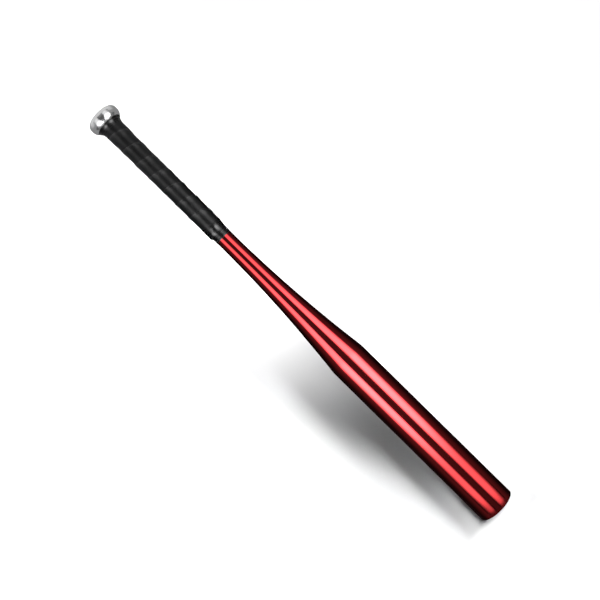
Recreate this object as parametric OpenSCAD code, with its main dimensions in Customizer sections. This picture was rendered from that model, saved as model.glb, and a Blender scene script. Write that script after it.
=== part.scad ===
// Aluminium baseball bat with a welded knob and a wrapped grip.
// The bat lies along X: knob at -X, barrel at +X, +Z up. The origin is on the surface it lies on,
// under the middle of its length. Inside a module, x is measured from the knob's face.

/* [Bat] */
// Length overall, from the knob's face to the barrel's end
bat_length = 762; // [686:1:864]
// Diameter of the barrel
barrel_d = 54.4; // [50:0.2:66]
// Length of the barrel, from its end to where the taper would meet it without the rounded shoulder
barrel_length = 286; // [200:1:320]
// Diameter of the bare handle
handle_d = 25; // [22:0.2:28]
// Where the taper starts, from the knob's face
taper_start = 240; // [240:1:280]

/* [Tube] */
// Wall of the barrel
barrel_wall = 1.8; // [1.4:0.1:3]
// Wall of the handle
handle_wall = 2.2; // [1.8:0.1:3]
// Radius that rounds the shoulder between the taper and the barrel
shoulder_r = 88; // [20:1:200]
// Outside corner radius of the mouth, where the barrel's wall is rolled inwards
mouth_corner_r = 1.8; // [1:0.1:3]
// Width of the rolled lip, from the barrel's outside to the mouth's hole
lip_width = 5; // [5:0.1:7]

/* [Knob] */
// Diameter of the knob
knob_d = 47.2; // [44:0.2:49]
// Edge radius at the knob's face
knob_edge_r = 6.9; // [5:0.1:8]
// Width of the band at the knob's full diameter
knob_band = 2.1; // [1:0.1:4]
// Edge radius at the knob's back
knob_back_r = 11; // [9:0.5:12]
// How far the handle's end goes into the knob
socket_depth = 12; // [8:1:12]
// Diameter of the hole that vents the tube through the knob's face
vent_d = 6; // [4:0.5:8]
// Leg of the weld fillet round the handle at the knob's neck
weld_leg = 2.4; // [1.5:0.1:2.6]

/* [Grip] */
// Where the wrap ends, from the knob's face
wrap_end = 225; // [180:1:225]
// Thickness of the adhesive underlay
underlay_t = 0.2; // [0.1:0.05:0.4]
// Thickness of the wrap on the underlay
wrap_t = 1.65; // [1:0.05:2]
// How far the doubled first turns of the wrap reach, from the knob's face
double_end = 41; // [35:1:60]
// How much of the neck tape lies on the wrap
neck_tape_lap = 4.2; // [2:0.1:8]
// Thickness of the neck tape
neck_tape_t = 0.25; // [0.1:0.05:0.5]
// How much of the finishing tape lies on the wrap
finish_lap = 11; // [5:0.5:15]
// How far the finishing tape reaches past the wrap onto the bare handle
finish_past = 13.7; // [6:0.1:14.5]
// Thickness of the finishing tape
finish_t = 0.25; // [0.1:0.05:0.5]

/* [End cap] */
// How far the cap reaches into the barrel
cap_depth = 22; // [16:1:30]
// Thickness of the cap's face
cap_face_t = 4; // [3:0.5:6]
// Width of the flat rim round the dished middle of the cap's face
cap_rim = 5; // [3:0.5:8]
// Depth of the dish in the cap's face
cap_dish = 0.8; // [0.4:0.1:1.2]
// Wall of the cap's skirt
cap_skirt_t = 2.4; // [1.6:0.1:3]
// Number of stiffening ribs inside the cap
cap_ribs = 6; // [3:1:10]
// Thickness of the bond between the cap and the barrel
bond_t = 0.2; // [0.1:0.05:0.4]
// Thickness of the foam disc behind the cap
foam_t = 12; // [6:1:20]

/* [Hidden] */
$fn = 96;

barrel_r = barrel_d / 2;
handle_r = handle_d / 2;
knob_r = knob_d / 2;
bore_r = barrel_r - barrel_wall;        // inside the barrel
barrel_start = bat_length - barrel_length;

// The taper is one arc, tangent to the handle at taper_start. It would reach the barrel's radius
// at barrel_start, and the shoulder's arc is tangent to it and to the barrel.
taper_length = barrel_start - taper_start;
rise = barrel_r - handle_r;
taper_r = (taper_length * taper_length + rise * rise) / (2 * rise);
shoulder_end = taper_start + sqrt(rise * (2 * (taper_r + shoulder_r) - rise));
shoulder_angle = asin((shoulder_end - taper_start) / (taper_r + shoulder_r));
TAPER_STEPS = 28;
SHOULDER_STEPS = 6;

// The knob's back runs at 45 degrees from its edge arc down to the neck, where the weld sits.
WELD_SEAT = 2.7;
neck_r = handle_r + WELD_SEAT;
back_drop = knob_back_r * (1 - cos(45));
back_run = knob_back_r * sin(45);
knob_length = knob_edge_r + knob_band + back_run + (knob_r - back_drop - neck_r);
tube_start = knob_length - socket_depth;
weld_end = knob_length + weld_leg;
WELD_ROUND = 1.5;                       // radius of the bead's face, in legs
neck_tape_start = knob_length - 4.2;    // on the knob's 45 degree back
PLUG_HEAD_T = 1.2;
PLUG_RECESS = 0.2;

underlay_start = weld_end + 0.2;
underlay_r = handle_r + underlay_t;
wrap_r = underlay_r + wrap_t;
DOUBLE_RAMP = 9;                        // length over which the doubled wrap thins to one layer

hole_r = barrel_r - lip_width;          // the mouth's hole
lip_inside = bat_length - barrel_wall;  // the inner face of the rolled lip
CAP_RECESS = 0.5;                       // of the cap's face below the lip
HOLE_GAP = 0.1;                         // between the cap's neck and the mouth's hole
cap_start = bat_length - cap_depth;
cap_r = bore_r - bond_t;
RIB_T = 1.6;
HUB_R = 4;
GATE_R = 2.2;                           // mark of the mould's gate in the middle of the cap's face
GATE_DEPTH = 0.4;

function point(c, r, a) = [c[0] + r * cos(a), c[1] + r * sin(a)];
function arc(c, r, from, to, steps) =
    [for (i = [0:steps]) point(c, r, from + (to - from) * i / steps)];
function reversed(p) = [for (i = [len(p) - 1:-1:0]) p[i]];

// Turns an outline of [radius, x] points about the bat's axis.
module turned(outline) {
    translate([-bat_length / 2, 0, barrel_r]) rotate([0, 90, 0])
        rotate_extrude() polygon(outline);
}

// Outer outline from the start of the taper to the end of the shoulder.
taper_curve = concat(
    arc([handle_r + taper_r, taper_start], taper_r, 180, 180 - shoulder_angle, TAPER_STEPS),
    [for (i = [1:SHOULDER_STEPS])
        point([barrel_r - shoulder_r, shoulder_end], shoulder_r,
              -shoulder_angle * (1 - i / SHOULDER_STEPS))]);
function wall_at(x) = handle_wall
    + (barrel_wall - handle_wall) * (x - taper_start) / (shoulder_end - taper_start);

module bat_tube() {
    corner = mouth_corner_r;
    inner_corner = 0.8;
    color("firebrick") turned(concat(
        [[handle_r, tube_start]],
        taper_curve,
        arc([barrel_r - corner, bat_length - corner], corner, 0, 90, 6),
        arc([hole_r + inner_corner, bat_length - inner_corner], inner_corner, 90, 180, 4),
        [[hole_r, lip_inside], [bore_r, lip_inside]],
        reversed([for (p = taper_curve) [p[0] - wall_at(p[1]), p[1]]]),
        [[handle_r - handle_wall, tube_start]]));
}

module knob() {
    color("silver") turned(concat(
        [[vent_d / 2 + 2, 0]],
        arc([knob_r - knob_edge_r, knob_edge_r], knob_edge_r, -90, 0, 12),
        arc([knob_r - knob_back_r, knob_edge_r + knob_band], knob_back_r, 0, 45, 10),
        [[neck_r, knob_length], [handle_r, knob_length], [handle_r, tube_start],
         [vent_d / 2, tube_start], [vent_d / 2, PLUG_HEAD_T + PLUG_RECESS],
         [vent_d / 2 + 2, PLUG_HEAD_T + PLUG_RECESS]]));
}

// The bead's face, from the knob's neck to the handle: a shallow arc across the corner.
weld_face_r = WELD_ROUND * weld_leg;
weld_half_angle = asin(weld_leg / sqrt(2) / weld_face_r);
weld_centre = weld_leg / 2 - weld_face_r * cos(weld_half_angle) / sqrt(2);
weld_face = arc([handle_r + weld_centre, knob_length + weld_centre], weld_face_r,
                45 - weld_half_angle, 45 + weld_half_angle, 6);

module knob_weld() {
    color("gainsboro") turned(concat([[handle_r, knob_length]], weld_face));
}

// Snap-in plug that closes the vent: a head in the knob's face and a barb behind its floor.
module knob_plug() {
    shank_r = vent_d / 2;
    head_r = shank_r + 2;
    color("dimgray") turned([
        [0, PLUG_RECESS], [head_r - 0.4, PLUG_RECESS], [head_r, PLUG_RECESS + 0.4],
        [head_r, PLUG_RECESS + PLUG_HEAD_T], [shank_r, PLUG_RECESS + PLUG_HEAD_T],
        [shank_r, tube_start], [shank_r + 0.4, tube_start],
        [shank_r - 0.4, tube_start + 2.5], [0, tube_start + 2.5]]);
}

module grip_underlay() {
    color("tan") turned([
        [handle_r, underlay_start], [underlay_r, underlay_start],
        [underlay_r, wrap_end], [handle_r, wrap_end]]);
}

module grip_wrap() {
    color([0.12, 0.12, 0.12]) turned(concat(
        [[neck_r, knob_length]],
        weld_face,
        [[handle_r, underlay_start], [underlay_r, underlay_start], [underlay_r, wrap_end],
         [wrap_r, wrap_end], [wrap_r, double_end + DOUBLE_RAMP], [neck_r, double_end]]));
}

module neck_tape() {
    t = neck_tape_t;
    end = knob_length + neck_tape_lap;
    start_r = neck_r + knob_length - neck_tape_start;
    color([0.06, 0.06, 0.06]) turned([
        [start_r, neck_tape_start], [start_r + t * sin(45), neck_tape_start + t * sin(45)],
        [neck_r + t, knob_length + t * tan(22.5)], [neck_r + t, end],
        [neck_r, end], [neck_r, knob_length]]);
}

module finishing_tape() {
    t = finish_t;
    step = wrap_r - handle_r;
    color([0.06, 0.06, 0.06]) turned([
        [wrap_r, wrap_end - finish_lap], [wrap_r + t, wrap_end - finish_lap],
        [wrap_r + t, wrap_end + t], [handle_r + t, wrap_end + t + step],
        [handle_r + t, wrap_end + finish_past], [handle_r, wrap_end + finish_past],
        [handle_r, wrap_end], [wrap_r, wrap_end]]);
}

// Moulded cap: its neck fills the mouth's hole and its skirt lies behind the rolled lip.
module end_cap() {
    face = bat_length - CAP_RECESS;
    floor_x = lip_inside - cap_face_t;
    dish = face - cap_dish;
    dish_r = hole_r - HOLE_GAP - cap_rim;
    color([0.1, 0.1, 0.1]) union() {
        turned([
            [0, floor_x], [cap_r - cap_skirt_t, floor_x], [cap_r - cap_skirt_t, cap_start],
            [cap_r, cap_start], [cap_r, lip_inside], [hole_r - HOLE_GAP, lip_inside],
            [hole_r - HOLE_GAP, face - 0.4], [hole_r - HOLE_GAP - 0.4, face],
            [dish_r, face], [dish_r - cap_dish, dish], [GATE_R + GATE_DEPTH, dish],
            [GATE_R, dish - GATE_DEPTH], [0, dish - GATE_DEPTH]]);
        turned([[0, cap_start + 4], [HUB_R, cap_start + 4], [HUB_R, floor_x + 1], [0, floor_x + 1]]);
        for (i = [0:cap_ribs - 1])
            translate([-bat_length / 2, 0, barrel_r]) rotate([i * 360 / cap_ribs, 0, 0])
                translate([cap_start + 4, HUB_R - 1, -RIB_T / 2])
                    cube([floor_x - cap_start - 3, cap_r - cap_skirt_t - HUB_R + 2, RIB_T]);
    }
}

module cap_bond() {
    color("wheat") turned([
        [cap_r, cap_start + 1], [bore_r, cap_start + 1], [bore_r, lip_inside], [cap_r, lip_inside]]);
}

module foam_disc() {
    color("lightgray") turned([
        [0, cap_start - foam_t], [bore_r, cap_start - foam_t], [bore_r, cap_start], [0, cap_start]]);
}

bat_tube();
knob();
knob_weld();
knob_plug();
grip_underlay();
grip_wrap();
neck_tape();
finishing_tape();
end_cap();
cap_bond();
foam_disc();
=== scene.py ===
"""Looks of the aluminium baseball bat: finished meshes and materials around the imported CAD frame.

The bat lies along X with its knob at -X. Sizes are in millimetres, and positions along the bat are
measured from the knob's face; place() turns them into the frame's metres.
"""

import math

import bmesh
import bpy
from mathutils import Matrix, Vector, noise

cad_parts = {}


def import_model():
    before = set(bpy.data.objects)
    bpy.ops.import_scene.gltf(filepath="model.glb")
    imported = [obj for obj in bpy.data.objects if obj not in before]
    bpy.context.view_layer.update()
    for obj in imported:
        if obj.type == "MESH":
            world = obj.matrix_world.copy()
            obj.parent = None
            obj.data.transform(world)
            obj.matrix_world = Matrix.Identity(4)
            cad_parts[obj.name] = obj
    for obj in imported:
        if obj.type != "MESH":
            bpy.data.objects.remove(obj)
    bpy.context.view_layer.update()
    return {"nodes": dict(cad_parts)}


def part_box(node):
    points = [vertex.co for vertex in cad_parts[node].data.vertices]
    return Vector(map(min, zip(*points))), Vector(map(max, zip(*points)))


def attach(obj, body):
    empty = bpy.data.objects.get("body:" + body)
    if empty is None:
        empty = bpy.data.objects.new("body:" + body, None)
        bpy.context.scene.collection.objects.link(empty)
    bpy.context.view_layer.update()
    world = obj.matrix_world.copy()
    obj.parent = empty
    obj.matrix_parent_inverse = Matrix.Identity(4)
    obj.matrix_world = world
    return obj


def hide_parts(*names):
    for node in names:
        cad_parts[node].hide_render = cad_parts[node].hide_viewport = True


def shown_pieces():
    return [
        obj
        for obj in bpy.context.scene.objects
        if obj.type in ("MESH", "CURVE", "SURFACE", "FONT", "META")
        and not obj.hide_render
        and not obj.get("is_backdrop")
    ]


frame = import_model()

MM = 0.001
TURN = 2 * math.pi
TUBE_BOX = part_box("bat_tube")
KNOB_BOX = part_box("knob")
WRAP_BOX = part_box("grip_wrap")
NECK_TAPE_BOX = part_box("neck_tape")
FINISH_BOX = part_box("finishing_tape")

KNOB_FACE_X = KNOB_BOX[0].x
BARREL_R = 27.2
AXIS_Z = TUBE_BOX[0].z + BARREL_R * MM          # the bat lies on its barrel


def along(x):
    """Distance in mm from the knob's face to a place x in the frame."""
    return (x - KNOB_FACE_X) / MM


def place(x, radius, angle):
    """Point of the frame at x mm from the knob's face; the angle runs from the top towards +Y."""
    out = radius * MM
    return Vector((KNOB_FACE_X + x * MM, out * math.sin(angle), AXIS_Z + out * math.cos(angle)))


# Sizes of the bat, in mm
LENGTH = along(TUBE_BOX[1].x)
BARREL_LENGTH = 286
HANDLE_R = 12.5
TAPER_START = 240
BARREL_WALL = 1.8
HANDLE_WALL = 2.2
SHOULDER_R = 88
MOUTH_CORNER_R = 1.8
LIP_CORNER_R = 0.8
LIP_WIDTH = 5
TUBE_START = along(TUBE_BOX[0].x)

KNOB_R = 23.6
KNOB_EDGE_R = 6.9
KNOB_BAND = 2.1
KNOB_BACK_R = 11
KNOB_LENGTH = along(KNOB_BOX[1].x)
NECK_R = HANDLE_R + 2.7
VENT_R = 3
PLUG_SEAT_R = 5
PLUG_SEAT_DEPTH = 1.4
PLUG_SEAT_CHAMFER = 0.25

UNDERLAY_R = 12.7
WELD_LEG = 2.4
WRAP_END = along(WRAP_BOX[1].x)
TAPE_T = 0.25
NECK_TAPE_START = along(NECK_TAPE_BOX[0].x)
NECK_TAPE_END = along(NECK_TAPE_BOX[1].x)
FINISH_START = along(FINISH_BOX[0].x)
FINISH_END = along(FINISH_BOX[1].x)

# Clearances between layers that lie on each other, in mm
CLOSE = 0.02
CLEAR = 0.03


# ---------------------------------------------------------------- meshes

def arc(x, r, radius, start, end, steps):
    """Points (x, r) on an arc; angles in degrees from the outward direction towards +X."""
    angles = [math.radians(start + (end - start) * i / steps) for i in range(steps + 1)]
    return [(x + radius * math.sin(a), r + radius * math.cos(a)) for a in angles]


def spread(outline, longest):
    """The closed outline with points added so that no side is longer than this."""
    points = []
    for (x0, r0), (x1, r1) in zip(outline, outline[1:] + outline[:1]):
        parts = max(1, math.ceil(math.hypot(x1 - x0, r1 - r0) / longest))
        points += [(x0 + (x1 - x0) * i / parts, r0 + (r1 - r0) * i / parts) for i in range(parts)]
    return points


def smooth_shade(bm, sharp_degrees):
    for face in bm.faces:
        face.smooth = True
    for edge in bm.edges:
        if len(edge.link_faces) == 2:
            edge.smooth = edge.calc_face_angle() < math.radians(sharp_degrees)


SOFT_DEGREES = 50               # on the strip and the tapes, only steeper edges stay sharp


def finish_mesh(bm, name, sharp_degrees=32):
    """Makes an object of the finished bmesh."""
    bmesh.ops.recalc_face_normals(bm, faces=bm.faces)
    smooth_shade(bm, sharp_degrees)
    mesh = bpy.data.meshes.new(name)
    bm.to_mesh(mesh)
    bm.free()
    piece = bpy.data.objects.new(name, mesh)
    bpy.context.scene.collection.objects.link(piece)
    return piece


def bridge(bm, rings):
    """Faces between each ring of vertices and the next; rings are closed."""
    for ring, following in zip(rings, rings[1:]):
        count = len(ring)
        for i in range(count):
            j = (i + 1) % count
            bm.faces.new((ring[i], ring[j], following[j], following[i]))


def lathe(name, outline, segments):
    """Closed solid turned from a closed outline of (x, r) points that stays clear of the axis."""
    bm = bmesh.new()
    rings = []
    for i in range(segments):
        angle = TURN * i / segments
        rings.append([bm.verts.new(place(x, r, angle)) for x, r in outline])
    bridge(bm, rings + rings[:1])
    return finish_mesh(bm, name)


def ease(value, start, end):
    """0 below start, 1 above end, and smooth between them."""
    t = min(1, max(0, (value - start) / (end - start)))
    return t * t * (3 - 2 * t)


def lumps(x, angle, length, count, seed):
    """Noise from -1 to 1 over the handle: features this long in mm, and about this many round it."""
    k = count / TURN
    return noise.noise(Vector((x / length, k * math.sin(angle) + seed, k * math.cos(angle) - seed)))


def tube_outline():
    """Drawn and swaged tube: handle, taper arc, shoulder arc, barrel, and a lip rolled inwards."""
    rise = BARREL_R - HANDLE_R
    run = LENGTH - BARREL_LENGTH - TAPER_START
    taper_r = (run * run + rise * rise) / (2 * rise)
    shoulder_end = TAPER_START + math.sqrt(rise * (2 * (taper_r + SHOULDER_R) - rise))
    turn = math.degrees(math.asin((shoulder_end - TAPER_START) / (taper_r + SHOULDER_R)))
    taper = arc(TAPER_START, HANDLE_R + taper_r, taper_r, 180, 180 - turn, 60)
    shoulder = arc(shoulder_end, BARREL_R - SHOULDER_R, SHOULDER_R, -turn, 0, 16)
    outside = taper + shoulder[1:]

    def wall(x):
        share = (x - TAPER_START) / (shoulder_end - TAPER_START)
        return HANDLE_WALL + (BARREL_WALL - HANDLE_WALL) * share

    hole_r = BARREL_R - LIP_WIDTH
    return (
        [(TUBE_START, HANDLE_R)] + outside
        + arc(LENGTH - MOUTH_CORNER_R, BARREL_R - MOUTH_CORNER_R, MOUTH_CORNER_R, 0, 90, 10)
        + arc(LENGTH - LIP_CORNER_R, hole_r + LIP_CORNER_R, LIP_CORNER_R, 90, 180, 6)
        + [(LENGTH - BARREL_WALL, hole_r), (LENGTH - BARREL_WALL, BARREL_R - BARREL_WALL)]
        + [(x, r - wall(x)) for x, r in reversed(outside)]
        + [(TUBE_START, HANDLE_R - HANDLE_WALL)])


def knob_outline():
    """Turned knob: rounded edge, crowned back, neck, socket, vent hole and the plug's seat."""
    return (
        arc(KNOB_EDGE_R, KNOB_R - KNOB_EDGE_R, KNOB_EDGE_R, -90, 0, 24)
        + arc(KNOB_EDGE_R + KNOB_BAND, KNOB_R - KNOB_BACK_R, KNOB_BACK_R, 0, 45, 16)
        + [(KNOB_LENGTH, NECK_R), (KNOB_LENGTH, HANDLE_R), (TUBE_START, HANDLE_R),
           (TUBE_START, VENT_R), (PLUG_SEAT_DEPTH, VENT_R), (PLUG_SEAT_DEPTH, PLUG_SEAT_R),
           (PLUG_SEAT_CHAMFER, PLUG_SEAT_R), (0, PLUG_SEAT_R + PLUG_SEAT_CHAMFER)])


# The wrap's end is cut on a slant, so it reaches further on the -Y side and thins out faster there.
CUT_MIDDLE = WRAP_END - 0.6
CUT_SLANT = 4.6
CUT_WIDTH = 9.5
CUT_WIDTH_SLANT = 6.5


def wrap_cut(angle):
    """Where the wrap's slanted end is cut, and the length over which it thins out."""
    side = math.sin(angle)
    return CUT_MIDDLE - CUT_SLANT * side, CUT_WIDTH + CUT_WIDTH_SLANT * side


# The inner faces of the two tapes, which follow what lies under them.
FINISH_BARE_R = HANDLE_R + CLOSE
NECK_BLEND = 1.3                # roundness of the bend between the knob's back and the wrap
NECK_CONE_END = KNOB_LENGTH + 9


def finish_inner_r(x, angle):
    """Inner radius of the finishing tape, draped over the wrap's end."""
    cut, width = wrap_cut(angle)
    drop = ease(x, cut - width / 2, cut + width / 2)
    over = wrap_surface_r(x, angle, clipped=False)
    return over + (FINISH_BARE_R - over) * drop


def neck_inner_r(x, angle):
    """Inner radius of the neck tape: down the knob's 45 degree back, then along the wrap."""
    if x >= NECK_CONE_END:
        return NECK_R
    cone = NECK_R + (KNOB_LENGTH - x)
    return NECK_BLEND * math.log(math.exp(cone / NECK_BLEND) + math.exp(NECK_R / NECK_BLEND))


# The wrap: one strip in a left-hand spiral, each turn lapped over the turn before it.
PITCH = 25.74
STRIP_W = 30
SEAM_AT = 61.5                  # one place where the exposed edge crosses the top
LAP = STRIP_W - PITCH
WRAP_R = 14.45                  # outside of a single layer
LEAD_T = 0.35                   # thickness of the skived edge
BODY_T = 1.45
SKIVE_W = 4.6                   # width over which the strip thins towards that edge
HUMP_W = 9.5                    # how far a lap shows as a hump
EDGE_REACH = 2.8                # how far the puckers and the polish of the exposed edge reach
DOUBLE_R = 15.15                # outside of the doubled first turns
DOUBLE_END = 41
RAMP_END = 50
UNDER_TAPE = 0.18               # the doubled turns are this much thicker under the neck tape
WRAP_SEGMENTS = 96              # per turn


def wrap_base_r(x):
    """Radius of the layer without its lapped edges: doubled at the knob, single further on."""
    thick = DOUBLE_R + UNDER_TAPE * (1 - ease(x, NECK_TAPE_END - 2, NECK_TAPE_END + 3))
    return WRAP_R + (thick - WRAP_R) * (1 - ease(x, DOUBLE_END, RAMP_END))


def hump(u):
    """Height over the single layer at u mm from the exposed edge."""
    rise = LEAD_T + 0.1 * ease(u, 0, 2.6)
    return rise * (1 - ease(u, 2.4, HUMP_W))


def lead_t(u):
    """Thickness of the strip at u mm from its exposed edge."""
    return LEAD_T + (BODY_T - LEAD_T) * ease(u, 0, SKIVE_W)


def wrap_waves(x, angle, u):
    """Slow unevenness of the layer, and puckers of the stretched edge."""
    slow = 0.10 * lumps(x, angle, 19, 3, 4.0)
    pull = 0.07 * lumps(x + 9 * angle, angle, 7, 9, 9.0)
    pucker = 0.16 * math.exp(-u / EDGE_REACH) * lumps(x, angle, 4, 17, 14.0)
    return slow + pull + pucker


def wrap_surface_r(x, angle, clipped=True):
    """Outer radius of the finished wrap at a place on the handle; clipped keeps it under the tapes."""
    phase = (x - SEAM_AT) / PITCH - (angle % TURN) / TURN
    u = (phase - math.floor(phase)) * PITCH
    fade = 0.3 + 0.7 * ease(x, DOUBLE_END, RAMP_END + 4)
    r = wrap_base_r(x) + fade * (hump(u) + wrap_waves(x, angle, u))
    if clipped and x > FINISH_START - 1:
        r = min(r, finish_inner_r(x, angle) - CLEAR)
    if clipped and x < NECK_TAPE_END + 0.5:
        r = min(r, neck_inner_r(x, angle) - CLOSE)
    return r


def bead_r(x):
    """Radius that the weld bead reaches, with a little room."""
    return HANDLE_R + max(0, WELD_LEG - (x - KNOB_LENGTH)) * 0.92 + 0.1


# Points across the strip, in mm from its exposed edge: closest together where the edge rolls over.
ACROSS = [0.0, 0.12, 0.35, 0.7, 1.2, 1.8, 2.6, 3.5, 4.5, 5.6, 6.8, 8.2, 9.8, 11.6, 13.6, 15.6,
          17.6, 19.6, 21.4, 23.0, 24.4, PITCH, 26.8, 27.9, 29.0, STRIP_W]
STRIP_FLOOR_R = UNDERLAY_R + CLOSE
STRIP_START = KNOB_LENGTH + 0.05
STRIP_END = WRAP_END + 4.0
CLIMB = 1.2                     # length over which the underside climbs onto the turn before
THINNEST = 0.1
NARROWEST = 0.4                 # the strip ends where it gets narrower than this
APART = 1e-3                    # keeps points apart where the strip is clipped


def strip_top(x, u, angle):
    """Outer radius of the strip at u mm from its exposed edge; past one pitch the next turn covers it."""
    r = wrap_surface_r(x, angle)
    return r - (lead_t(u - PITCH) + CLEAR) if u > PITCH else r


def strip_bottom(x, u, top, lapped):
    """Inner radius of the strip: on the underlay, or on the turn before it near its exposed edge."""
    bottom = STRIP_FLOOR_R
    lap = LAP + CLIMB - u
    if lapped and lap > 0:
        raised = min(top - lead_t(u), top - 0.12)
        bottom += (raised - STRIP_FLOOR_R) * ease(lap, 0, CLIMB)
    return min(max(bottom, bead_r(x)), top - THINNEST)


def strip_section(turns):
    """Outline of the strip this many turns from SEAM_AT, as (x, r, shine); None where it has run out."""
    angle = (turns % 1) * TURN
    edge_x = SEAM_AT + PITCH * turns
    cut, width = wrap_cut(angle)
    low = max(edge_x, STRIP_START)
    high = min(edge_x + STRIP_W, cut + width / 2 - 0.2)
    if high - low < NARROWEST:
        return None
    outer, inner = [], []
    for step, across in enumerate(ACROSS):
        x = min(high, max(low, edge_x + across))
        x = min(high - APART * (len(ACROSS) - step), max(low + APART * step, x))
        u = x - edge_x
        top = strip_top(x, u, angle)
        shine = math.exp(-max(0, u) / EDGE_REACH) if u < PITCH else 0
        outer.append((x, top, shine))
        inner.append((x, strip_bottom(x, u, top, edge_x > STRIP_START + 1), 0))
    return outer + inner[::-1]


def grip_strip():
    """The strip as one closed mesh, with the closeness to the exposed edge kept for its material."""
    bm = bmesh.new()
    seam = bm.verts.layers.float.new("seam")
    first = (STRIP_START - STRIP_W + 1.5 - SEAM_AT) / PITCH
    last = (STRIP_END - 1.5 - SEAM_AT) / PITCH
    rings = []
    for i in range(math.ceil((last - first) * WRAP_SEGMENTS) + 1):
        turns = first + i / WRAP_SEGMENTS
        section = strip_section(turns)
        if not section:
            continue
        ring = []
        for x, r, shine in section:
            vert = bm.verts.new(place(x, r, (turns % 1) * TURN))
            vert[seam] = shine
            ring.append(vert)
        rings.append(ring)
    bridge(bm, rings)
    bm.faces.new(rings[0][::-1])
    bm.faces.new(rings[-1])
    return finish_mesh(bm, "grip_strip", SOFT_DEGREES)


def tape_band(name, segments, stations, ends, inner_r, lift):
    """Band of vinyl tape, thinner at its two edges.

    ends(angle) gives where it starts and stops, inner_r(x, angle) what it lies on, and
    lift(x, angle) how far its ridges stand off that.
    """
    bm = bmesh.new()
    rings = []
    for i in range(segments):
        angle = TURN * i / segments
        start, end = ends(angle)
        outer, inner = [], []
        for j in range(stations + 1):
            x = start + (end - start) * j / stations
            edge = min(1, j / 2, (stations - j) / 2)
            r = inner_r(x, angle) + lift(x, angle) * edge
            inner.append((x, r))
            outer.append((x, r + TAPE_T * (0.6 + 0.4 * edge)))
        rings.append([bm.verts.new(place(x, r, angle)) for x, r in outer + inner[::-1]])
    bridge(bm, rings + rings[:1])
    return finish_mesh(bm, name, SOFT_DEGREES)


def neck_band():
    """Vinyl tape over the knob's neck, pleated where it turns from the cone to the wrap."""
    def ends(angle):
        start = NECK_TAPE_START + 0.12 + 0.22 * lumps(0, angle, 5, 6, 2.0)
        return start, NECK_TAPE_END + 0.25 * lumps(0, angle, 5, 4, 6.0)

    def pleats(x, angle):
        bend = math.exp(-((x - KNOB_LENGTH) / 1.9) ** 2)
        folds = 0.11 * bend * (1 + lumps(x, angle, 9, 15, 3.0))
        return max(0.03, folds + 0.05 * lumps(x, angle, 3, 11, 8.0))

    return tape_band("neck_band", 192, 40, ends, neck_inner_r, pleats)


def closing_band():
    """Vinyl tape over the wrap's end: it shows the wrap's step and has stretch ridges."""
    def ends(angle):
        start = FINISH_START + 0.5 + 0.3 * lumps(0, angle, 5, 3, 11.0)
        return start, FINISH_END - 0.15 + 0.15 * lumps(0, angle, 5, 3, 12.0)

    def ridges(x, angle):
        return max(0.01, 0.08 + 0.13 * lumps(x + 3 * math.sin(angle), angle, 2.1, 4, 21.0))

    return tape_band("closing_band", 160, 56, ends, finish_inner_r, ridges)


# ---------------------------------------------------------------- materials

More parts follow.
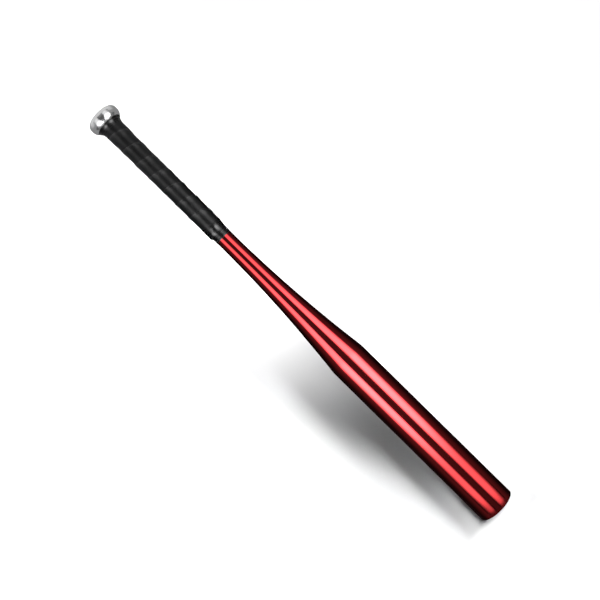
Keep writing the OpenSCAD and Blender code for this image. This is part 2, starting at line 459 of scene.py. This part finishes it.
class Shader:
    """Builds one procedural material. Inputs are numbers, colours, or other nodes' outputs."""

    def __init__(self, name, **values):
        self.material = bpy.data.materials.new(name)
        self.material.use_nodes = True
        self.tree = self.material.node_tree
        self.surface = self.tree.nodes["Principled BSDF"]
        self.coords = self.tree.nodes.new("ShaderNodeTexCoord").outputs["Object"]
        for key, value in values.items():
            self.set(key.replace("_", " "), value)

    def feed(self, socket, value):
        if isinstance(value, bpy.types.NodeSocket):
            self.tree.links.new(value, socket)
        elif isinstance(value, (tuple, list)) and len(value) == 3 and socket.type == "RGBA":
            socket.default_value = (*value, 1)
        else:
            socket.default_value = value

    def set(self, name, value):
        self.feed(self.surface.inputs[name], value)

    def node(self, kind, output, inputs, **settings):
        made = self.tree.nodes.new(kind)
        for key, value in settings.items():
            setattr(made, key, value)
        for key, value in inputs.items():
            self.feed(made.inputs[key], value)
        return made.outputs[output]

    def math(self, operation, a, b=0.0, c=0.0):
        return self.node("ShaderNodeMath", 0, {0: a, 1: b, 2: c}, operation=operation)

    def stretched(self, x, y, z):
        """Object coordinates scaled by these amounts, per metre."""
        return self.node("ShaderNodeMapping", 0, {"Vector": self.coords, "Scale": (x, y, z)})

    def noise(self, vector, scale=1.0, detail=3.0, roughness=0.5):
        return self.node("ShaderNodeTexNoise", "Fac",
                         {"Vector": vector, "Scale": scale, "Detail": detail, "Roughness": roughness})

    def cells(self, vector, scale, feature="F1", randomness=1.0):
        return self.node("ShaderNodeTexVoronoi", "Distance",
                         {"Vector": vector, "Scale": scale, "Randomness": randomness}, feature=feature)

    def span(self, value, low, high, to_low=0.0, to_high=1.0):
        """Maps low..high to to_low..to_high, held at the ends."""
        return self.node("ShaderNodeMapRange", 0,
                         {"Value": value, "From Min": low, "From Max": high,
                          "To Min": to_low, "To Max": to_high}, interpolation_type="SMOOTHSTEP")

    def mix(self, factor, a, b):
        made = self.tree.nodes.new("ShaderNodeMix")
        made.data_type = "RGBA"
        sockets = [s for s in made.inputs if s.enabled]
        for socket, value in zip(sockets, (factor, a, b)):
            self.feed(socket, value)
        return next(s for s in made.outputs if s.enabled)

    def split(self):
        """The x, y and z of the object's coordinates."""
        parts = self.tree.nodes.new("ShaderNodeSeparateXYZ")
        self.feed(parts.inputs[0], self.coords)
        return parts.outputs

    def turned(self):
        """Vector (radius, x, 0) in metres: the same all the way round the bat."""
        x, y, z = self.split()
        z = self.math("SUBTRACT", z, AXIS_Z)
        squares = self.math("ADD", self.math("MULTIPLY", y, y), self.math("MULTIPLY", z, z))
        return self.node("ShaderNodeCombineXYZ", 0, {"X": self.math("SQRT", squares), "Y": x})

    def glow(self, strength, colour=(1, 1, 1)):
        """Replaces the surface with plain emission."""
        light = self.node("ShaderNodeEmission", 0, {"Color": colour, "Strength": strength})
        self.tree.links.new(light, self.tree.nodes["Material Output"].inputs["Surface"])
        self.tree.nodes.remove(self.surface)

    def bump(self, height, distance, strength=1.0, onto=None):
        inputs = {"Height": height, "Distance": distance, "Strength": strength}
        if onto is not None:
            inputs["Normal"] = onto
        return self.node("ShaderNodeBump", 0, inputs)


def anodised():
    """Red anodising over aluminium: lengthwise polishing lines, faint mottling and fine scuffs."""
    s = Shader("red_anodised_aluminium", Metallic=1.0)
    lines = s.noise(s.stretched(9, 2600, 2600), detail=4)
    broad = s.noise(s.stretched(3, 260, 260), detail=2)
    mottle = s.noise(s.coords, 24, detail=3)
    scuff = s.span(s.noise(s.stretched(60, 1500, 1500), detail=2), 0.66, 0.74)
    shade = s.mix(mottle, (0.52, 0.036, 0.040), (0.56, 0.049, 0.051))
    shade = s.mix(s.math("MULTIPLY", lines, 0.25), shade, (0.50, 0.030, 0.034))
    s.set("Base Color", shade)
    rough = s.math("ADD", s.span(lines, 0.3, 0.7, 0.085, 0.125), s.span(broad, 0.3, 0.7, 0.0, 0.025))
    s.set("Roughness", s.math("MULTIPLY_ADD", scuff, 0.05, rough))
    s.set("Normal", s.bump(s.math("ADD", lines, s.math("MULTIPLY", scuff, 0.3)), 0.000004))
    return s.material


def turned_aluminium():
    """Bare aluminium off the lathe, satin polished: concentric tool marks and small dings."""
    s = Shader("satin_aluminium", Metallic=1.0)
    ring = s.turned()
    marks = s.noise(ring, 5200, detail=2)
    wide = s.noise(ring, 700, detail=2)
    cloud = s.noise(s.coords, 120, detail=4)
    s.set("Base Color", s.mix(cloud, (0.78, 0.785, 0.795), (0.90, 0.90, 0.905)))
    rough = s.math("ADD", s.span(marks, 0.3, 0.7, 0.14, 0.20), s.span(cloud, 0.35, 0.75, 0.0, 0.06))
    s.set("Roughness", rough)
    nicks = s.span(s.cells(s.coords, 420), 0.0, 0.12, 1.0, 0.0)
    height = s.math("ADD", s.math("MULTIPLY_ADD", marks, 0.7, wide), s.math("MULTIPLY", nicks, -0.4))
    s.set("Normal", s.bump(height, 0.000022))
    return s.material


def weld_bead():
    """Bare weld metal: overlapping ripples round the bead, dull between them."""
    s = Shader("weld_aluminium", Metallic=1.0)
    x, y, z = s.split()
    angle = s.math("ARCTAN2", y, s.math("SUBTRACT", z, AXIS_Z))
    ripple = s.math("SINE", s.math("MULTIPLY_ADD", angle, 70, s.math("MULTIPLY", x, 900)))
    soot = s.noise(s.coords, 300, detail=4)
    s.set("Base Color", s.mix(soot, (0.50, 0.50, 0.51), (0.76, 0.76, 0.77)))
    s.set("Roughness", s.span(soot, 0.3, 0.7, 0.34, 0.55))
    s.set("Normal", s.bump(s.math("MULTIPLY_ADD", soot, 0.5, ripple), 0.00012))
    return s.material


def grip_leather():
    """Black synthetic leather: pebble grain with creases, polished along the strip's raised edge."""
    s = Shader("grip_leather")
    edge = s.node("ShaderNodeAttribute", "Fac", {}, attribute_name="seam")
    grain = s.cells(s.coords, 950, "SMOOTH_F1")
    pores = s.noise(s.coords, 2600, detail=2)
    crease = s.noise(s.stretched(330, 160, 160), detail=4, roughness=0.6)
    tone = s.noise(s.coords, 55, detail=3)
    s.set("Base Color", s.mix(tone, (0.0095, 0.0095, 0.0105), (0.019, 0.019, 0.0205)))
    s.set("Specular IOR Level", s.math("MULTIPLY_ADD", edge, 0.62, 0.33))
    gloss = s.math("MULTIPLY_ADD", edge, -0.12, s.span(tone, 0.3, 0.7, 0.29, 0.37))
    s.set("Roughness", s.math("MULTIPLY_ADD", grain, 0.05, gloss))
    skin = s.bump(grain, 0.00010, 0.8)
    skin = s.bump(pores, 0.00003, 0.6, skin)
    s.set("Normal", s.bump(crease, 0.00022, 0.8, skin))
    return s.material


def vinyl():
    """Glossy black tape: stretch lines round the handle and a slight ripple."""
    s = Shader("vinyl_tape", Specular_IOR_Level=0.42)
    stretch = s.noise(s.stretched(1300, 130, 130), detail=3)
    ripple = s.noise(s.coords, 170, detail=2)
    tone = s.noise(s.coords, 90, detail=3)
    s.set("Base Color", s.mix(tone, (0.009, 0.009, 0.010), (0.017, 0.017, 0.018)))
    s.set("Roughness", s.span(stretch, 0.3, 0.7, 0.20, 0.31))
    s.set("Normal", s.bump(stretch, 0.00002, 1.0, s.bump(ripple, 0.00018)))
    return s.material


def moulded(name, dark, light, rough, grain_scale, depth):
    """Moulded plastic: fine spark-eroded texture, flow marks and slight variation in tone."""
    s = Shader(name)
    ring = s.turned()
    grain = s.noise(s.coords, grain_scale, detail=3)
    flow = s.noise(ring, 260, detail=2)
    s.set("Base Color", s.mix(flow, dark, light))
    s.set("Roughness", s.span(grain, 0.3, 0.7, rough, rough + 0.14))
    s.set("Normal", s.bump(s.math("MULTIPLY_ADD", flow, 0.4, grain), depth))
    return s.material


def underlay_tape():
    """Double-sided tape: paper fibres under a tacky film, in tan."""
    s = Shader("adhesive_tape")
    fibre = s.noise(s.stretched(700, 2400, 2400), detail=5)
    tone = s.noise(s.coords, 60, detail=3)
    s.set("Base Color", s.mix(tone, (0.60, 0.49, 0.31), (0.74, 0.63, 0.43)))
    s.set("Roughness", s.span(fibre, 0.3, 0.7, 0.30, 0.5))
    s.set("Normal", s.bump(fibre, 0.00004))
    return s.material


def cured_bond():
    """Cured urethane: amber, a little cloudy, with small bubbles."""
    s = Shader("urethane_bond")
    cloud = s.noise(s.coords, 140, detail=4)
    bubbles = s.span(s.cells(s.coords, 900), 0.05, 0.22, 1.0, 0.0)
    s.set("Base Color", s.mix(cloud, (0.60, 0.48, 0.24), (0.78, 0.68, 0.42)))
    s.set("Roughness", s.span(cloud, 0.3, 0.7, 0.22, 0.4))
    s.set("Normal", s.bump(bubbles, 0.00015))
    return s.material


def cell_foam():
    """Closed-cell foam: small cells, with painted shade darkening their bottoms."""
    s = Shader("foam", Roughness=0.9)
    cells = s.cells(s.coords, 1100)
    # painted shade: each cell's colour is darker towards its bottom, where its bump is lowest
    s.set("Base Color", s.mix(s.span(cells, 0.0, 0.5), (0.26, 0.26, 0.28), (0.52, 0.52, 0.54)))
    s.set("Normal", s.bump(cells, 0.0003))
    return s.material


def floor_paint():
    """Off-white paint. It glows by itself away from the bat, so that it stays white beyond the lamps."""
    s = Shader("floor", Roughness=0.9, Specular_IOR_Level=0.0)
    tone = s.noise(s.coords, 3, detail=2)
    s.set("Base Color", s.mix(tone, (0.86, 0.86, 0.865), (0.877, 0.877, 0.882)))
    x, y, _ = s.split()
    aside = s.math("ADD", s.span(y, 0.045, 0.085), s.span(y, -0.16, -0.105, 1.0, 0.0))
    beyond = s.math("ADD", s.span(x, 0.42, 0.46), s.span(x, -0.44, -0.40, 1.0, 0.0))
    s.set("Emission Color", (1, 1, 1))
    s.set("Emission Strength", s.math("ADD", aside, beyond))
    s.material.cycles.emission_sampling = "NONE"         # the glow isn't a lamp
    return s.material


def paint(piece, material):
    piece.data.materials.clear()
    piece.data.materials.append(material)


# ---------------------------------------------------------------- pieces

TUBE_SIDE, KNOB_SIDE = 7, 2     # longest side of a turned face, in mm
tube = lathe("tube", spread(tube_outline(), TUBE_SIDE), 192)
knob = lathe("knob_turned", spread(knob_outline(), KNOB_SIDE), 160)

# Each visual piece, its material, the CAD node it replaces and that node's material slot
VINYL = vinyl()
visuals = [
    (tube, anodised(), "bat_tube", "red_anodised_aluminium"),
    (knob, turned_aluminium(), "knob", "satin_aluminium"),
    (grip_strip(), grip_leather(), "grip_wrap", "grip_leather"),
    (neck_band(), VINYL, "neck_tape", "vinyl_tape"),
    (closing_band(), VINYL, "finishing_tape", "vinyl_tape"),
]
for piece, material, node, slot in visuals:
    paint(piece, material)
    piece.visible_diffuse = False              # no red light thrown on the floor
    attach(piece, "root")
    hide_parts(node)

# The other nodes keep their CAD shape and get a material.
PLUG_BLACK = (0.030, 0.030, 0.031), (0.052, 0.052, 0.054)
CAP_BLACK = (0.022, 0.022, 0.023), (0.038, 0.038, 0.040)
kept = {
    "knob_weld": weld_bead(),
    "knob_plug": moulded("plug_plastic", *PLUG_BLACK, rough=0.42, grain_scale=1800, depth=0.00003),
    "grip_underlay": underlay_tape(),
    "end_cap": moulded("cap_plastic", *CAP_BLACK, rough=0.40, grain_scale=1500, depth=0.00005),
    "cap_bond": cured_bond(),
    "foam_disc": cell_foam(),
}
for node, material in kept.items():
    paint(frame["nodes"][node], material)


# ---------------------------------------------------------------- stage, light and camera

def panel(name, x0, x1, near, far, material):
    """A flat panel from x0 to x1; near and far are the (y, z) of its two long edges."""
    mesh = bpy.data.meshes.new(name)
    mesh.from_pydata([(x0, *near), (x1, *near), (x1, *far), (x0, *far)], [], [(0, 1, 2, 3)])
    mesh.materials.append(material)
    made = bpy.data.objects.new(name, mesh)
    bpy.context.scene.collection.objects.link(made)
    made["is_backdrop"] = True
    return made


def reflections_only(thing):
    thing.visible_camera = False
    thing.visible_diffuse = False
    thing.visible_shadow = False


FLOOR_HALF = 4.0
floor = panel("floor", -FLOOR_HALF, FLOOR_HALF, (-FLOOR_HALF, 0), (FLOOR_HALF, 0), floor_paint())
floor.visible_glossy = False
floor.visible_diffuse = False


# Two long softboxes hang either side of the lens, along the bat; they make its two bright bands.
STRIP_FROM, STRIP_TO = -0.66, 0.6
STRIP_NEAR, STRIP_FAR = (0.128, 0.554), (0.628, 0.204)          # (sideways, up) from the bat's axis
STRIP_SHIFT = -0.025            # both hang a little towards -Y
# Their brightness at these x: weak over the grip, full over the barrel, gone past its end.
STRIP_GLOW = [(-0.66, 0.7), (-0.58, 0.9), (-0.40, 1.0), (-0.25, 2.3), (-0.14, 3.3), (-0.06, 5.0),
              (-0.01, 6.4), (0.10, 9.4), (0.22, 9.4), (0.34, 8.0), (0.37, 5.6), (0.40, 3.9),
              (0.43, 2.8), (0.525, 2.6), (0.545, 1.3), (0.565, 0.5), (0.59, 0.1)]
GLOW_FULL = 10.0


def softbox_glow():
    """Emission that changes along the softbox, brightest over the barrel."""
    s = Shader("softbox_glow")
    x, y, _ = s.split()
    where = s.span(x, STRIP_FROM, STRIP_TO)
    where.node.interpolation_type = "LINEAR"
    ramp = s.tree.nodes.new("ShaderNodeValToRGB")
    s.feed(ramp.inputs[0], where)
    stops = ramp.color_ramp.elements
    while len(stops) < len(STRIP_GLOW):
        stops.new(0.5)
    for stop, (at, _) in zip(stops, STRIP_GLOW):
        stop.position = (at - STRIP_FROM) / (STRIP_TO - STRIP_FROM)
    for stop, (_, glow) in zip(stops, STRIP_GLOW):
        stop.color = (glow / GLOW_FULL, glow / GLOW_FULL, glow / GLOW_FULL, 1)
    sideways = s.math("ABSOLUTE", y)
    soft = s.math("MULTIPLY", s.span(sideways, 0.15, 0.255), s.span(sideways, 0.37, 0.59, 1.0, 0.02))
    s.glow(s.math("MULTIPLY", soft, GLOW_FULL), ramp.outputs[0])
    return s.material


GLOW = softbox_glow()
for side in (1, -1):
    near, far = [(side * away, AXIS_Z + up) for away, up in (STRIP_NEAR, STRIP_FAR)]
    box = panel("softbox", STRIP_FROM, STRIP_TO, near, far, GLOW)
    box.location.y = STRIP_SHIFT
    reflections_only(box)


def bounce_card():
    """Weak glow for the cards round the knob, stronger past its face."""
    s = Shader("bounce_card")
    x, _, _ = s.split()
    s.glow(s.span(x, -0.52, -0.38, 0.72, 0.27))
    return s.material


# Cards beside and below the knob give its sides something pale to reflect.
CARD_FROM, CARD_TO = -0.64, -0.27
CARD_EDGES = [(-0.30, 0.16), (-0.30, -0.004), (0.30, -0.004), (0.30, 0.16)]
CARD = bounce_card()
for near, far in zip(CARD_EDGES, CARD_EDGES[1:]):
    reflections_only(panel("card", CARD_FROM, CARD_TO, near, far, CARD))


def lamp(kind, name, strength, lit, **settings):
    """A lamp that lights only these objects and doesn't show in reflections."""
    data = bpy.data.lights.new(name, kind)
    data.energy = strength
    for key, value in settings.items():
        setattr(data, key, value)
    made = bpy.data.objects.new(name, data)
    bpy.context.scene.collection.objects.link(made)
    made.visible_glossy = False
    group = bpy.data.collections.new(name + "_lights")
    for o in lit:
        group.objects.link(o)
    made.light_linking.receiver_collection = group
    return made


def aim(thing, towards):
    """Points a lamp's -Z axis along a direction, with its X axis as near the bat's as it goes."""
    back = -Vector(towards).normalized()
    up = back.cross(Vector((1, 0, 0))).normalized()
    thing.rotation_euler = Matrix((up.cross(back), up, back)).transposed().to_euler()


# A row of gridded lamps lights the floor from +Y: low over the handle, nearly overhead at the barrel's
# end, so the shadow leaves the bat towards the handle and thins out there.
KEY_AWAY = 0.62
KEY_AIM_Y = -0.03
KEYS = [                        # its x, the x it aims at, elevation in degrees, watts
    (-0.225, -0.135, 8, 0.42),
    (-0.08, 0.01, 17, 0.12),
    (0.065, 0.155, 30, 0.65),
    (0.21, 0.30, 47, 0.28),
    (0.17, 0.45, 80, 0.21),
]
for x, aimed_x, degrees, watts in KEYS:
    key = lamp("AREA", "key", watts, [floor], shape="RECTANGLE", size=0.1, size_y=0.32,
               spread=math.radians(26))
    elevation = math.radians(degrees)
    key.location = (x, KEY_AWAY * math.cos(elevation), KEY_AWAY * math.sin(elevation))
    aim(key, Vector((aimed_x, KEY_AIM_Y, 0)) - key.location)

# A lamp without shadow fills in the handle's share of it, which the photograph doesn't have.
FILL_X = -0.26
fill = lamp("AREA", "fill", 0.85, [floor], shape="RECTANGLE", size=0.6, size_y=0.1,
            spread=math.radians(36))
fill.data.use_shadow = False
fill.location = (FILL_X, 0.108, 0.61)
aim(fill, Vector((FILL_X, -0.04, 0)) - fill.location)

# A weak, very soft light from above falls on the bat only.
soft = lamp("SUN", "soft", 0.35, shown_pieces(), angle=math.radians(120))
aim(soft, (0.1, -0.4, -1))


def world():
    """White to the camera; dim and graded where the bat reflects it; weak as a light."""
    studio = bpy.data.worlds.new("studio")
    bpy.context.scene.world = studio
    studio.use_nodes = True
    nodes, links = studio.node_tree.nodes, studio.node_tree.links
    nodes.clear()
    path = nodes.new("ShaderNodeLightPath")
    coords = nodes.new("ShaderNodeTexCoord")
    parts = nodes.new("ShaderNodeSeparateXYZ")
    links.new(coords.outputs["Generated"], parts.inputs[0])

    def ramp(axis, low, high, to_low, to_high):
        """Brightness that changes with the direction looked in."""
        made = nodes.new("ShaderNodeMapRange")
        made.interpolation_type = "SMOOTHSTEP"
        links.new(parts.outputs[axis], made.inputs["Value"])
        for key, value in zip(("From Min", "From Max", "To Min", "To Max"), (low, high, to_low, to_high)):
            made.inputs[key].default_value = value
        return made.outputs[0]

    def add(a, b):
        made = nodes.new("ShaderNodeMath")
        links.new(a, made.inputs[0])
        links.new(b, made.inputs[1])
        return made.outputs[0]

    def choose(factor, a, b):
        made = nodes.new("ShaderNodeMixShader")
        links.new(factor, made.inputs[0])
        links.new(a, made.inputs[1])
        links.new(b, made.inputs[2])
        return made.outputs[0]

    def backdrop(strength):
        made = nodes.new("ShaderNodeBackground")
        made.inputs["Color"].default_value = (1, 1, 1, 1)
        if isinstance(strength, float):
            made.inputs["Strength"].default_value = strength
        else:
            links.new(strength, made.inputs["Strength"])
        return made.outputs[0]

    ceiling = ramp("Z", -0.2, 0.9, 0.011, 0.085)
    horizon = add(ramp("Z", -0.5, 0.15, 0.0, 0.09), ramp("Z", 0.2, 0.6, 0.0, -0.09))
    handle_side = ramp("X", -0.33, -0.20, 0.1, 0.0)
    knob_side = ramp("X", -0.62, -0.32, 0.5, 0.0)
    end_side = ramp("X", 0.5, 0.9, 0.0, 0.12)
    reflected = backdrop(add(add(add(ceiling, horizon), knob_side), add(handle_side, end_side)))
    lit = choose(path.outputs["Is Glossy Ray"], backdrop(0.008), reflected)
    seen = choose(path.outputs["Is Camera Ray"], lit, backdrop(1.0))
    links.new(seen, nodes.new("ShaderNodeOutputWorld").inputs["Surface"])


world()

# The lens looks straight down at the bat, a little off its middle.
camera = bpy.data.objects.new("camera", bpy.data.cameras.new("camera"))
camera.data.lens = 48
camera.data.sensor_width = 36
camera.location = (-0.0086, 0.0120, AXIS_Z + 1.097)
camera.rotation_euler = (0, 0, math.radians(44.53))
bpy.context.scene.collection.objects.link(camera)
bpy.context.scene.camera = camera
bpy.context.scene.view_settings.view_transform = "Standard"
